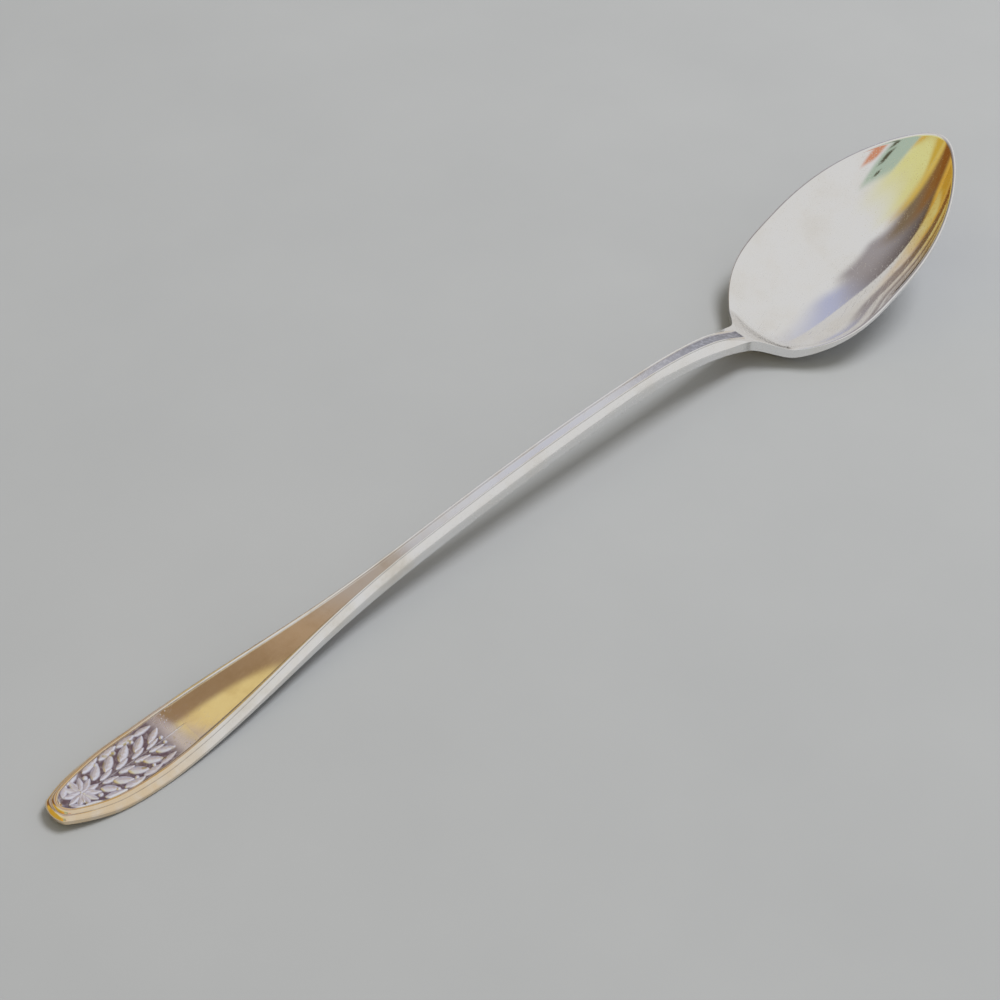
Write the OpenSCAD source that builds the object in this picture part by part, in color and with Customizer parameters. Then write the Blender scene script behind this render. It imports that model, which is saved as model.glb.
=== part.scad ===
// Iced tea spoon, struck from one blank: a long slim handle and a pointed egg-shaped bowl.
// X runs from the handle's end to the bowl's tip, Y across, Z up from the table the spoon lies on.
// Every cross-section stands upright on X, so neighbouring stretches meet on one flat face.

/* [Overall] */
// Length over all, lying on the table
length = 190; // [175:1:205]

/* [Bowl] */
// Length of the bowl, from its shoulders to its tip
bowl_len = 50; // [44:0.1:56]
// Width of the bowl over its rim
bowl_w = 28.8; // [25:0.1:33]
// Depth of the hollow, measured straight down from the rim
bowl_depth = 8.2; // [6:0.1:10.5]
// Angle at which the rim climbs from the neck to the tip
bowl_tilt = 22.35; // [16:0.05:25]
// Thickness of the bowl's wall
wall_t = 1.2; // [0.8:0.05:1.6]
// Thickness of the rim's edge
rim_t = 0.7; // [0.5:0.05:1.2]
// Width of the flat edge on top of the rim
rim_w = 0.5; // [0.4:0.05:1.2]
// Depth of the small flat that tables have worn under the bowl
wear_depth = 0.15; // [0.05:0.01:0.3]

/* [Neck] */
// Width of the handle where it meets the bowl's shoulders
neck_w = 5.2; // [4.4:0.1:7]
// Height of the neck's side faces
neck_side = 2.1; // [1.5:0.1:2.6]
// Length over which the handle's profile melts into the bowl
neck_len = 9; // [6:0.5:14]
// Length over which the thick heel thins out into the rim
heel_len = 16; // [8:0.5:20]
// How far past the shoulders the handle goes on falling before the rim climbs
dip_len = 4.8; // [2:0.1:6]
// Angle at which the handle falls into the bowl
stem_angle = 28.5; // [20:0.5:34]
// Radius that eases the dip between the falling handle and the climbing rim
dip_r = 0.45; // [0.2:0.05:1.2]

/* [Shank] */
// Width of the slim middle of the handle
shank_w = 3.6; // [2.8:0.05:4.6]
// Height of the shank's side faces
shank_side = 2.35; // [1.6:0.05:2.8]
// How far the shank's back bulges below its side faces
back_belly = 0.45; // [0.2:0.05:0.8]
// Half the width of the groove along the shank
groove_half = 0.6; // [0.3:0.05:0.8]
// Half the width of the groove where the neck meets the bowl
neck_groove_half = 1.05; // [0.5:0.05:1.4]
// How far the groove lies below the outer feet of its beads
groove_depth = 0.22; // [0.1:0.01:0.4]
// Width of the bead on each side of the groove
shank_bead_w = 0.35; // [0.25:0.05:0.5]
// Height of the bead's foot above the shank's side faces
shank_crown = 0.85; // [0.4:0.05:1.2]
// Height of the handle's side faces at the top of its arch
arch_h = 10.35; // [6:0.05:14]
// Distance from the arch's top to the bowl's shoulders
arch_back = 26.5; // [22:0.5:40]

/* [Blade] */
// Width of the flared end of the handle
blade_w = 11.45; // [9:0.05:14]
// Length of the flare, from the handle's end to the slim shank
blade_len = 74; // [50:1:80]
// Distance from the handle's end to the widest place
blade_widest = 16; // [13:0.5:22]
// Width of the blunt end
end_w = 3.85; // [3.4:0.05:6]
// Depth of the rounding on the blunt end
end_round = 0.9; // [0.5:0.1:1.6]
// Thickness of the blade's edge
blade_side = 0.92; // [0.5:0.02:1.2]
// Distance from the blade's edge to the bead's outer foot
bevel_w = 0.75; // [0.5:0.05:1.2]
// Height of the bead's outer foot above the blade's edge
blade_crown = 0.65; // [0.4:0.05:1.2]
// Width of the bead round the panel
bead_w = 0.85; // [0.4:0.05:1]
// Height of the bead
bead_h = 0.25; // [0.15:0.01:0.5]
// How far the panel's edge lies above the bead's outer foot
panel_rise = 0.3; // [0:0.01:0.5]
// How far the panel is dished across its width
panel_dish = 0.4; // [0:0.05:0.5]
// How far the handle's end is turned up from the table
end_lift = 1.1; // [0.4:0.1:2]
// Length of the flat on the blade's back that the table touches, up to the widest place
rest_len = 7; // [4:0.5:9]
// Depth to which tables have worn that flat
rest_wear = 0.03; // [0.01:0.01:0.1]

/* [Hidden] */

silver = [0.86, 0.85, 0.87];
silver_warm = [0.88, 0.84, 0.76];
silver_bright = [0.95, 0.95, 0.97];

// Exponents of the curves: the nose, the flare's taper, the arch's rise and the turned-up end
nose_power = 2.6;
taper_power = 1.62;
rise_power = 1.24;
lift_power = 1.3;
thin_power = 0.84;
// Exponents of the bowl's outline and hollow
shoulder_start_power = 1.34;
shoulder_end_power = 3.96;
egg_power = 2.9;
hollow_power = 1.4;
// Place of the widest point along the bowl, and how strongly the outline is drawn in to its tip
shoulder_share = 0.468;
egg_share = 0.28;
// How far the keel lags behind the rim near the tip
keel_share = 0.12;
// Side face of the handle: share of the half width, then share of the side's height
side_shares = [[0.985, 0], [1, 0.35], [0.985, 0.8]];
// Places across the bevel, from the bead to the edge, and how much it swells between them
bevel_shares = [0, 0.35, 0.7];
bevel_swell_share = 0.12;
back_share = 0.93;
panel_end_share = 0.9;
tip_bunch_share = 1.25;

// Rings along each stretch, and points round half a section
end_rings = 5;
blade_rings = 22;
shank_rings = 16;
neck_rings = 8;
bowl_rings = 34;
panel_foot = 4;
inner_rim = 8;
back_points = 7;
half_points = inner_rim + len(side_shares) + back_points;
bead_points = 5;
low_steps = 60;
cut_over = 1;

bowl_start = length - bowl_len;
neck_start = bowl_start - neck_len;
arch_x = bowl_start - arch_back;
dip_x = bowl_start + dip_len;
blade_half = blade_w / 2;
shank_half = shank_w / 2;
neck_half = neck_w / 2;
bowl_half = bowl_w / 2;
border_w = bevel_w + bead_w;
inner_len = bowl_len - rim_w;
hair = rim_w / 1000;

function mix(a, b, t) = a + (b - a) * t;
function clamp01(t) = max(0, min(1, t));
function smooth(t) = let (c = clamp01(t)) c * c * (3 - 2 * c);
function soft_max(a, b, r) = (a + b) / 2 + sqrt(pow((a - b) / 2, 2) + r * r);

// 1 on the flared blade, falling to 0 on the shank
function flare(x) = let (v = clamp01((x - blade_widest) / (blade_len - blade_widest)))
    pow((1 + cos(180 * v)) / 2, taper_power);

// Half the outline's width: blunt nose, flared blade, slim shank, egg-shaped bowl
function nose_half(x) = mix(end_w / 2, blade_half, 1 - pow(1 - clamp01(x / blade_widest), nose_power));
function neck_swell(x) = pow(clamp01((x - arch_x) / arch_back), 2);
function handle_half(x) = x < blade_widest ? nose_half(x)
    : mix(shank_half, blade_half, flare(x)) + (neck_half - shank_half) * neck_swell(x);
function shoulder_half(t) = mix(neck_half, bowl_half,
    1 - pow(1 - pow(t, shoulder_start_power), shoulder_end_power));
function egg_half(v) = bowl_half * sqrt(1 - v * v) * (1 - egg_share * pow(v, egg_power));
function bowl_half_at(u) = u < shoulder_share ? shoulder_half(max(0, u / shoulder_share))
    : egg_half(min(1, (u - shoulder_share) / (1 - shoulder_share)));
function end_cap(x) = x < end_round ? sqrt(1 - pow(1 - x / end_round, 2)) : 1;
function outline_half(x) = x < bowl_start ? end_cap(x) * handle_half(x)
    : bowl_half_at((x - bowl_start) / bowl_len);

// The hollow's depth and the shell's sag below the rim, each from one curve along the bowl
hollow_peak = pow(hollow_power / (hollow_power + 1), hollow_power) / (hollow_power + 1);
function hollow(u) = let (c = clamp01(u)) pow(c, hollow_power) * (1 - c) / hollow_peak;
function inner_depth(x) = bowl_depth * hollow((x - bowl_start) / inner_len);
function heel_fade(x) = 1 - smooth((x - bowl_start) / heel_len);
function outer_side(x) = mix(rim_t, neck_side, heel_fade(x));
function outer_depth(x) = (bowl_depth + wall_t - rim_t) * hollow((x - bowl_start) / bowl_len)
    + back_belly * heel_fade(x);

// Heights from the dip: the handle falls towards it, and the rim climbs from it
fall_run = dip_x - arch_x;
function rim_line(x) = (x - dip_x) * tan(bowl_tilt);
function fall_line(x, top) = let (v = max(0, (x - arch_x) / fall_run), p = tan(stem_angle) * fall_run / top)
    v < 1 ? top * (1 - pow(v, p)) : top * p * (1 - v);
function dip_height(x, top) = soft_max(fall_line(x, top), rim_line(x), dip_r * clamp01((x - arch_x) / fall_run));

// Height of the dip that puts the underside of the bowl on the table
underside = [for (i = [0:low_steps]) let (x = bowl_start + bowl_len * i / low_steps)
    dip_height(x, arch_h - neck_side) - outer_side(x) - outer_depth(x)];
dip_h = -min(underside) - wear_depth;

// Height of the side faces' top edge along the whole spoon
rest_start = blade_widest - rest_len;
blade_h = blade_side - rest_wear;
function lift_height(x) = blade_h + end_lift * pow(max(0, 1 - x / rest_start), lift_power);
function rise_height(x) = let (v = clamp01((x - blade_widest) / (arch_x - blade_widest)))
    mix(blade_h, arch_h, pow(sin(90 * v), rise_power));
function edge_height(x) = x < rest_start ? lift_height(x)
    : x < arch_x ? rise_height(x) : dip_h + dip_height(x, arch_h - dip_h);

// Sizes of the handle's section, which change from the blade to the shank
function thin(x) = pow(flare(x), thin_power);
function side_at(x) = mix(mix(shank_side, blade_side, thin(x)), neck_side, neck_swell(x));
function belly_at(x) = back_belly * (1 - thin(x));
function crown_at(x) = mix(shank_crown, blade_crown, flare(x));
function bead_w_at(x) = mix(shank_bead_w, bead_w, flare(x));
function recess_at(x) = mix(groove_depth, -panel_rise, flare(x));
function panel_half(x) = x < blade_widest ? nose_half(x) - border_w
    : mix(mix(groove_half, neck_groove_half, neck_swell(x)), blade_half - border_w, flare(x));

// The panel has its own round end inside the blunt one, so its points are drawn in from the outline's
function panel_x(x) = x > blade_widest ? x : mix(border_w, blade_widest, x / blade_widest);
function panel_cap(x) = let (v = clamp01((x - border_w) / (border_w * panel_end_share))) sqrt(1 - pow(1 - v, 2));
function panel_edge(x) = let (px = panel_x(x)) [px, panel_half(px) * panel_cap(px)];
function bevel_height(t, start, foot, edge) = let (v = (t - start) / (1 - start))
    mix(foot, edge, v) + (foot - edge) * bevel_swell_share * sin(180 * v);

// Half of the handle's section, from the middle of its top round to the middle of its back
function handle_section(x) = let (
    e = panel_edge(x), w = outline_half(x), z = edge_height(x), z_in = edge_height(e.x),
    foot = z + crown_at(x), foot_in = z_in + crown_at(x), recess = foot_in - recess_at(x),
    dish = panel_dish * flare(x), start = bead_w_at(x) / max(bead_w_at(x) + bevel_w, w - e.y),
    side = side_at(x), belly = belly_at(x))
    concat(
        [for (j = [0:panel_foot]) let (t = j / panel_foot) [e.x, e.y * t, recess - dish * (1 - t * t)]],
        [for (s = bevel_shares) let (t = mix(start, 1, s))
            [mix(e.x, x, t), mix(e.y, w, t), bevel_height(t, start, mix(foot_in, foot, t), z)]],
        [for (s = side_shares) [x, w * s[0], z - side * s[1]]],
        [for (j = [1:back_points]) let (q = back_share * (back_points - j) / (back_points - 1))
            [mix(e.x, x, q), w * q, mix(z_in, z, q) - side - belly * (1 - q * q)]]);

// Height under a rim at share q of its half width w, as part of an arc that is d deep in the middle
function arc_share(q, w, d) = let (h = max(d, w / 1000), r = (w * w + h * h) / (2 * h))
    (sqrt(max(0, r * r - q * q * w * w)) - (r - h)) / h;

// Half of the bowl's section: the hollow, the rim's flat edge and the shell
function inner_x(x) = bowl_start + (x - bowl_start) * inner_len / bowl_len;
function inner_half(x) = (1 - rim_w / bowl_half) * outline_half(bowl_start + (x - bowl_start) * bowl_len / inner_len);
function keel_x(x) = x - keel_share * bowl_len * pow(clamp01((x - bowl_start) / bowl_len), 3);
function hollow_z(x, y) = let (w = max(inner_half(x), hair), d = inner_depth(x))
    edge_height(x) - d * arc_share(min(1, y / w), w, d);
function shell_z(x, y) = let (w = max(outline_half(x), hair), d = outer_depth(x))
    edge_height(x) - outer_side(x) - d * arc_share(min(1, y / w), w, d);
heel_shares = [for (j = [0:inner_rim]) min(1, handle_section(bowl_start)[j].y / inner_half(bowl_start))];
function inner_share(j, x) = mix(heel_shares[j], sin(90 * j / inner_rim), smooth((x - bowl_start) / neck_len));
function bowl_section(x) = let (ix = inner_x(x), w = outline_half(x))
    concat(
        [for (j = [0:inner_rim]) let (q = inner_share(j, x), px = mix(keel_x(ix), ix, q), py = inner_half(ix) * q)
            [px, py, hollow_z(px, py)]],
        [[x, w, edge_height(x)], [x, w, edge_height(x) - outer_side(x)]],
        [for (j = [1:back_points]) let (q = sin(90 * (1 - j / back_points)), px = mix(keel_x(x), x, q), py = w * q)
            [px, py, shell_z(px, py)]]);

// The handle's section melts into the bowl's along the neck
function section(x) = let (m = smooth((x - neck_start) / neck_len), a = handle_section(x))
    m == 0 ? a : let (b = bowl_section(x)) [for (j = [0:half_points - 1]) mix(a[j], b[j], m)];

function mirrored(p) = [p.x, -p.y, p.z];
function distinct(f) = f[0] != f[1] && f[1] != f[2] && f[0] != f[2];
function off_middle(f, points) = max([for (i = f) abs(points[i].y)]) > 0;

// Closed solid through half sections and their mirror image. At a pole, a ring lies in the middle plane.
module half_loft(rings, pole_first = false, pole_last = false) {
    n = len(rings);
    k = len(rings[0]);
    first = pole_first ? 1 : 0;
    last = n - (pole_last ? 2 : 1);
    right = [for (r = rings) for (p = r) p];
    left = [for (i = [first:last]) for (j = [1:k - 2]) mirrored(rings[i][j])];
    function right_at(i, j) = i * k + (i < first ? max(j, panel_foot) : j);
    function left_at(i, j) = i < first || i > last || j == 0 || j == k - 1 ? right_at(i, j)
        : n * k + (i - first) * (k - 2) + j - 1;
    skin = [for (i = [0:n - 2]) for (j = [0:k - 2]) each [
        [right_at(i, j), right_at(i, j + 1), right_at(i + 1, j + 1)],
        [right_at(i, j), right_at(i + 1, j + 1), right_at(i + 1, j)],
        [left_at(i, j), left_at(i + 1, j + 1), left_at(i, j + 1)],
        [left_at(i, j), left_at(i + 1, j), left_at(i + 1, j + 1)]]];
    function cap(i) = [for (j = [0:k / 2 - 2]) let (top = j + 1, under = k - 1 - j) each [
        [right_at(i, j), right_at(i, top), right_at(i, under)],
        [right_at(i, top), right_at(i, under - 1), right_at(i, under)],
        [left_at(i, j), left_at(i, under), left_at(i, top)],
        [left_at(i, top), left_at(i, under), left_at(i, under - 1)]]];
    start = pole_first ? [] : [for (f = cap(0)) [f[0], f[2], f[1]]];
    end = pole_last ? [] : cap(n - 1);
    points = concat(right, left);
    faces = [for (f = concat(skin, start, end)) if (distinct(f) && off_middle(f, points)) f];
    polyhedron(points, faces, convexity = 8);
}

// Bead on the strip between the panel and the bevel
function bead_ring(x) = let (s = section(x)) [for (j = [0:bead_points - 1]) let (t = j / (bead_points - 1))
    mix(s[panel_foot], s[panel_foot + 1], t) + [0, 0, bead_h * sin(180 * t)]];

function tail(a) = [for (i = [1:len(a) - 1]) a[i]];
function steps(a, b, n) = [for (i = [0:n]) mix(a, b, i / n)];
end_stations = [for (i = [0:end_rings]) end_round * (1 - cos(90 * i / end_rings))];
blade_stations = concat(end_stations,
    [for (i = [1:blade_rings]) mix(end_round, blade_len, pow(i / blade_rings, tip_bunch_share))]);
shank_stations = steps(blade_len, neck_start, shank_rings);
neck_stations = steps(neck_start, bowl_start, neck_rings);
bowl_stations = [for (i = [0:bowl_rings]) bowl_start + bowl_len * (1 - cos(180 * i / bowl_rings)) / 2];
bead_stations = concat(blade_stations, tail(shank_stations), [for (i = [1:neck_rings - 1]) neck_stations[i]]);

module place() {
    translate([-length / 2, 0, 0]) children();
}

// What reaches below the table is worn away
module worn() {
    difference() {
        children();
        translate([-cut_over, -bowl_half, -bowl_depth]) cube([length, bowl_w, bowl_depth]);
    }
}

module bowl() {
    color(silver_bright) place() worn() half_loft([for (x = bowl_stations) section(x)], pole_last = true);
}

module neck() {
    color(silver) place() half_loft([for (x = neck_stations) section(x)]);
}

module shank() {
    color(silver_bright) place() half_loft([for (x = shank_stations) section(x)]);
}

module blade() {
    color(silver_warm) place() worn() half_loft([for (x = blade_stations) section(x)], pole_first = true);
}

// One tube from the neck round the handle's end and back. Its foot has the blank's own triangles.
module bead_border() {
    n = len(bead_stations);
    k = bead_points;
    here = [for (i = [n - 1:-1:0]) bead_ring(bead_stations[i])];
    back = [for (i = [1:n - 1]) [for (p = bead_ring(bead_stations[i])) mirrored(p)]];
    rings = concat(here, back);
    last = (len(rings) - 1) * k;
    skin = [for (i = [0:len(rings) - 2]) for (j = [0:k - 1]) let (a = i * k + j, b = i * k + (j + 1) % k) each
        i < n - 1 ? [[a, b + k, b], [a, a + k, b + k]] : [[a, a + k, b], [b, a + k, b + k]]];
    ends = [for (j = [1:k - 2]) each [[0, j, j + 1], [last, last + j + 1, last + j]]];
    color(silver) place() polyhedron([for (r = rings) for (p = r) p], concat(skin, ends), convexity = 8);
}

bowl();
neck();
shank();
blade();
bead_border();
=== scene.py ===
"""Iced tea spoon: the polished surfaces, ornament, materials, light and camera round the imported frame."""
import math

import bpy
import numpy as np
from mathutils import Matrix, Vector


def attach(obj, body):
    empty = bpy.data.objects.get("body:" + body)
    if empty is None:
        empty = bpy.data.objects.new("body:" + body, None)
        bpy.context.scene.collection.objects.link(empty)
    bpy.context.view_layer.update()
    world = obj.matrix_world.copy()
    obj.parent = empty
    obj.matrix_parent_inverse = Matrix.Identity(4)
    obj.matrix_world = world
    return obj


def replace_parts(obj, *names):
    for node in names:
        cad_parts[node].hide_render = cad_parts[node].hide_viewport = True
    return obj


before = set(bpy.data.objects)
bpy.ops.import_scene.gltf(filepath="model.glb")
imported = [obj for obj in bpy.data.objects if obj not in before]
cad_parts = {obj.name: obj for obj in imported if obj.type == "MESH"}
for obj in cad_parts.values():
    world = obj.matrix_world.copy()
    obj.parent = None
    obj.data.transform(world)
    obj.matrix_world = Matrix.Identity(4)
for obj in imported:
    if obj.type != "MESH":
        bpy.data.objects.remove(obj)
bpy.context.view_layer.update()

# Sizes in millimetres, with the names and values of the part's source
LENGTH = 190.0
BOWL_LEN, BOWL_W, BOWL_DEPTH, BOWL_TILT = 50.0, 28.8, 8.2, 22.35
WALL_T, RIM_T, RIM_W, WEAR_DEPTH = 1.2, 0.7, 0.5, 0.15
NECK_W, NECK_SIDE, NECK_LEN, HEEL_LEN = 5.2, 2.1, 9.0, 16.0
DIP_LEN, STEM_ANGLE, DIP_R = 4.8, 28.5, 0.45
SHANK_W, SHANK_SIDE, BACK_BELLY, GROOVE_HALF, GROOVE_DEPTH = 3.6, 2.35, 0.45, 0.6, 0.22
NECK_GROOVE_HALF = 1.05
SHANK_BEAD_W, SHANK_CROWN, ARCH_H, ARCH_BACK = 0.35, 0.85, 10.35, 26.5
BLADE_W, BLADE_LEN, BLADE_WIDEST = 11.45, 74.0, 16.0
END_W, END_ROUND, BLADE_SIDE = 3.85, 0.9, 0.92
BEVEL_W, BLADE_CROWN, BEAD_W, BEAD_H = 0.75, 0.65, 0.85, 0.25
PANEL_RISE, PANEL_DISH, END_LIFT, REST_LEN, REST_WEAR = 0.3, 0.4, 1.1, 7.0, 0.03

# Exponents and shares of the curves, also as in the source
NOSE_POWER, TAPER_POWER, RISE_POWER, LIFT_POWER, THIN_POWER = 2.6, 1.62, 1.24, 1.3, 0.84
SHOULDER_START_POWER, SHOULDER_END_POWER, EGG_POWER, HOLLOW_POWER = 1.34, 3.96, 2.9, 1.4
SHOULDER_SHARE, EGG_SHARE, KEEL_SHARE, KEEL_POWER = 0.468, 0.28, 0.12, 3
UNDERSIDE_STEPS = 61
BEVEL_SWELL_SHARE, BACK_SHARE, PANEL_END_SHARE = 0.12, 0.93, 0.9

BOWL_START = LENGTH - BOWL_LEN
NECK_START = BOWL_START - NECK_LEN
ARCH_X = BOWL_START - ARCH_BACK
DIP_X = BOWL_START + DIP_LEN
FALL_RUN = DIP_X - ARCH_X
BORDER_W = BEVEL_W + BEAD_W
INNER_LEN = BOWL_LEN - RIM_W
REST_START = BLADE_WIDEST - REST_LEN
BLADE_H = BLADE_SIDE - REST_WEAR
TINY = 0.001

# Fine forms that only the finished surface has, in millimetres and shares
# The bead's roundness, and the sharp crease at its outer foot
BEAD_ROUND, CREASE, CREASE_SHARP, CREASE_REACH = 0.7, 0.07, 6, 0.12
# The rounded edge under the bevel, and the largest share of the bevel that it takes
EDGE_R, EDGE_LIMIT = 0.16, 0.3
# The facet that carries the bevel on down the handle's sides: its share of the side, swell and start
FACET_SHARE, FACET_SWELL, FACET_START, FACET_FADE = 0.34, 0.02, 2.0, 10.0
# The share of the side that is upright, and how far the rounded corner below it reaches in and down
SIDE_SHARE, CORNER_REACH, CORNER_BELLY = 0.62, 0.06, 0.2
# Radii of the bowl's rim, inside and outside, and of the heel where the neck falls into the hollow
RIM_R, RIM_OUTER_R, HEEL_R, HEEL_START_LEN, HEEL_LIMIT = 0.15, 0.06, 3.4, 3.0, 0.5
# The rounded corner between the neck's outline and the bowl's
FILLET, FILLET_LEN, FILLET_STEPS = 2.0, 3.0, 15
# Where the groove ends, and over what length
GROOVE_END, GROOVE_END_SOFT = BOWL_START - 1.1, 0.3

# Where the silver is yellowed and satin, where painted shade darkens and roughens it, and where a gold
# reflection is painted: places along the spoon in millimetres, and strengths
PATINA_START, PATINA_END = 28.0, 12.0
# Painted gold reflection inside the bowl along its near rim
GOLD_REFLECTION_START, GOLD_REFLECTION_FADE, GOLD_REFLECTION_EDGE, GOLD_REFLECTION_EDGE_FADE = 159.0, 16.0, 0.48, 0.1
# Painted shade, which also roughens the silver: in the groove near the neck, on the handle end's sides and
# in the creases beside the bead
GROOVE_SHADE_AND_DULL, GROOVE_SHADE_START, GROOVE_SHADE_FADE = 0.72, 102.0, 30.0
SIDE_SHADE_AND_DULL, SIDE_SHADE_START, SIDE_SHADE_RISE, SIDE_SHADE_END, SIDE_SHADE_FALL = 0.12, 1.0, 4.0, 22.0, 7.0
SHANK_CREASE_SHADE, BLADE_INNER_SHADE, BLADE_OUTER_SHADE = 0.1, 0.6, 0.5
SATIN_START, SATIN_FADE, SATIN_END = BOWL_START - 1.0, 2.0, BOWL_START + 8.0


def mix(a, b, t):
    return a + (b - a) * t


def clamp01(t):
    return np.clip(t, 0.0, 1.0)


def smooth(t):
    c = clamp01(t)
    return c * c * (3 - 2 * c)


def soft_max(a, b, r):
    """The larger of a and b, rounded where they cross."""
    return (a + b) / 2 + np.sqrt(((a - b) / 2) ** 2 + r * r)


def flare(x):
    """1 on the flared blade, falling to 0 on the shank."""
    v = clamp01((x - BLADE_WIDEST) / (BLADE_LEN - BLADE_WIDEST))
    return ((1 + np.cos(np.pi * v)) / 2) ** TAPER_POWER


def neck_swell(x):
    """0 up to the top of the arch, rising to 1 at the bowl."""
    return clamp01((x - ARCH_X) / ARCH_BACK) ** 2


def nose_half(x):
    """Half width of the handle's blunt end, up to the blade's widest place."""
    return mix(END_W / 2, BLADE_W / 2, 1 - (1 - clamp01(x / BLADE_WIDEST)) ** NOSE_POWER)


def handle_half(x):
    swell = (NECK_W - SHANK_W) / 2 * neck_swell(x)
    return np.where(x < BLADE_WIDEST, nose_half(x), mix(SHANK_W / 2, BLADE_W / 2, flare(x)) + swell)


def sharp_outline(x):
    """Half the outline's width: blunt nose, flared blade, slim shank, egg-shaped bowl."""
    end_cap = np.sqrt(1 - (1 - clamp01(x / END_ROUND)) ** 2)
    u = clamp01((x - BOWL_START) / BOWL_LEN)
    t = clamp01(u / SHOULDER_SHARE)
    shoulder = mix(NECK_W / 2, BOWL_W / 2, 1 - (1 - t**SHOULDER_START_POWER) ** SHOULDER_END_POWER)
    v = clamp01((u - SHOULDER_SHARE) / (1 - SHOULDER_SHARE))
    egg = BOWL_W / 2 * np.sqrt(1 - v * v) * (1 - EGG_SHARE * v**EGG_POWER)
    bowl = np.where(u < SHOULDER_SHARE, shoulder, egg)
    return np.where(x < BOWL_START, end_cap * handle_half(x), bowl)


def outline_half(x):
    """The outline, with the corner between the neck and the bowl rounded by averaging along it."""
    reach = FILLET * np.exp(-(((x - BOWL_START) / FILLET_LEN) ** 2))
    steps = np.linspace(-1, 1, FILLET_STEPS)
    shares = 1 + np.cos(np.pi * steps)
    return sum(share * sharp_outline(x + step * reach) for step, share in zip(steps, shares)) / shares.sum()


def hollow(u):
    """Share of the bowl's depth at share u of its length."""
    peak = (HOLLOW_POWER / (HOLLOW_POWER + 1)) ** HOLLOW_POWER / (HOLLOW_POWER + 1)
    c = clamp01(u)
    return c**HOLLOW_POWER * (1 - c) / peak


def heel_fade(x):
    """1 where the neck meets the bowl, falling to 0 past the heel."""
    return 1 - smooth((x - BOWL_START) / HEEL_LEN)


def inner_depth(x):
    """Depth of the hollow under the rim."""
    return BOWL_DEPTH * hollow((x - BOWL_START) / INNER_LEN)


def outer_side(x):
    """Height of the upright edge: the rim's, and the neck's side at the heel."""
    return mix(RIM_T, NECK_SIDE, heel_fade(x))


def outer_depth(x):
    """How far the bowl's back sags under the foot of its edge."""
    sag = (BOWL_DEPTH + WALL_T - RIM_T) * hollow((x - BOWL_START) / BOWL_LEN)
    return sag + BACK_BELLY * heel_fade(x)


def dip_height(x, top):
    """Height above the dip between the falling handle and the climbing rim."""
    rim = (x - DIP_X) * math.tan(math.radians(BOWL_TILT))
    v = np.maximum(0, (x - ARCH_X) / FALL_RUN)
    p = math.tan(math.radians(STEM_ANGLE)) * FALL_RUN / top
    fall = np.where(v < 1, top * (1 - np.minimum(v, 1) ** p), top * p * (1 - v))
    return soft_max(fall, rim, DIP_R * clamp01((x - ARCH_X) / FALL_RUN))


def resting_height():
    """Height of the dip at which the bowl's back, worn flat under its heel, just rests on the table."""
    x = BOWL_START + BOWL_LEN * np.linspace(0, 1, UNDERSIDE_STEPS)
    underside = dip_height(x, ARCH_H - NECK_SIDE) - outer_side(x) - outer_depth(x)
    return -underside.min() - WEAR_DEPTH


DIP_H = resting_height()


def edge_height(x):
    """Height of the side faces' top edge along the whole spoon."""
    lift = BLADE_H + END_LIFT * np.maximum(0, 1 - x / REST_START) ** LIFT_POWER
    v = clamp01((x - BLADE_WIDEST) / (ARCH_X - BLADE_WIDEST))
    rise = mix(BLADE_H, ARCH_H, np.sin(np.pi / 2 * v) ** RISE_POWER)
    beyond = DIP_H + dip_height(x, ARCH_H - DIP_H)
    return np.where(x < REST_START, lift, np.where(x < ARCH_X, rise, beyond))


def thin(x):
    """1 where the handle is as thin as the blade, and 0 on the shank."""
    return flare(x) ** THIN_POWER


def recess_at(x):
    """How far the groove's bottom or the panel's edge lies below the bead's outer foot."""
    return mix(GROOVE_DEPTH, -PANEL_RISE, flare(x))


def panel_half(x):
    """Half width of the panel, and of the groove that it narrows to."""
    groove = mix(GROOVE_HALF, NECK_GROOVE_HALF, neck_swell(x))
    full = mix(groove, BLADE_W / 2 - BORDER_W, flare(x))
    v = clamp01((x - BORDER_W) / (BORDER_W * PANEL_END_SHARE))
    return np.where(x < BLADE_WIDEST, nose_half(x) - BORDER_W, full) * np.sqrt(1 - (1 - v) ** 2)


def panel_edge(x):
    """The panel has its own round end inside the blunt one, so its points are drawn in."""
    px = np.where(x > BLADE_WIDEST, x, mix(BORDER_W, BLADE_WIDEST, x / BLADE_WIDEST))
    return px, panel_half(px)


def bezier(a, b, c, t):
    """The curve from a to c that b pulls to itself."""
    return (1 - t) ** 2 * a + 2 * t * (1 - t) * b + t * t * c


# Points round half a section: panel, bead, bevel, edge, side, lower corner, back
PANEL_N, BEAD_N, BEVEL_N, EDGE_N, SIDE_N, CORNER_N, BACK_N = 14, 11, 14, 10, 3, 7, 18
TOP_N = PANEL_N + BEAD_N + BEVEL_N
# How much closer the bevel's points lie at its crease than at its edge
BEVEL_CROWDING = 1.3


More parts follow.
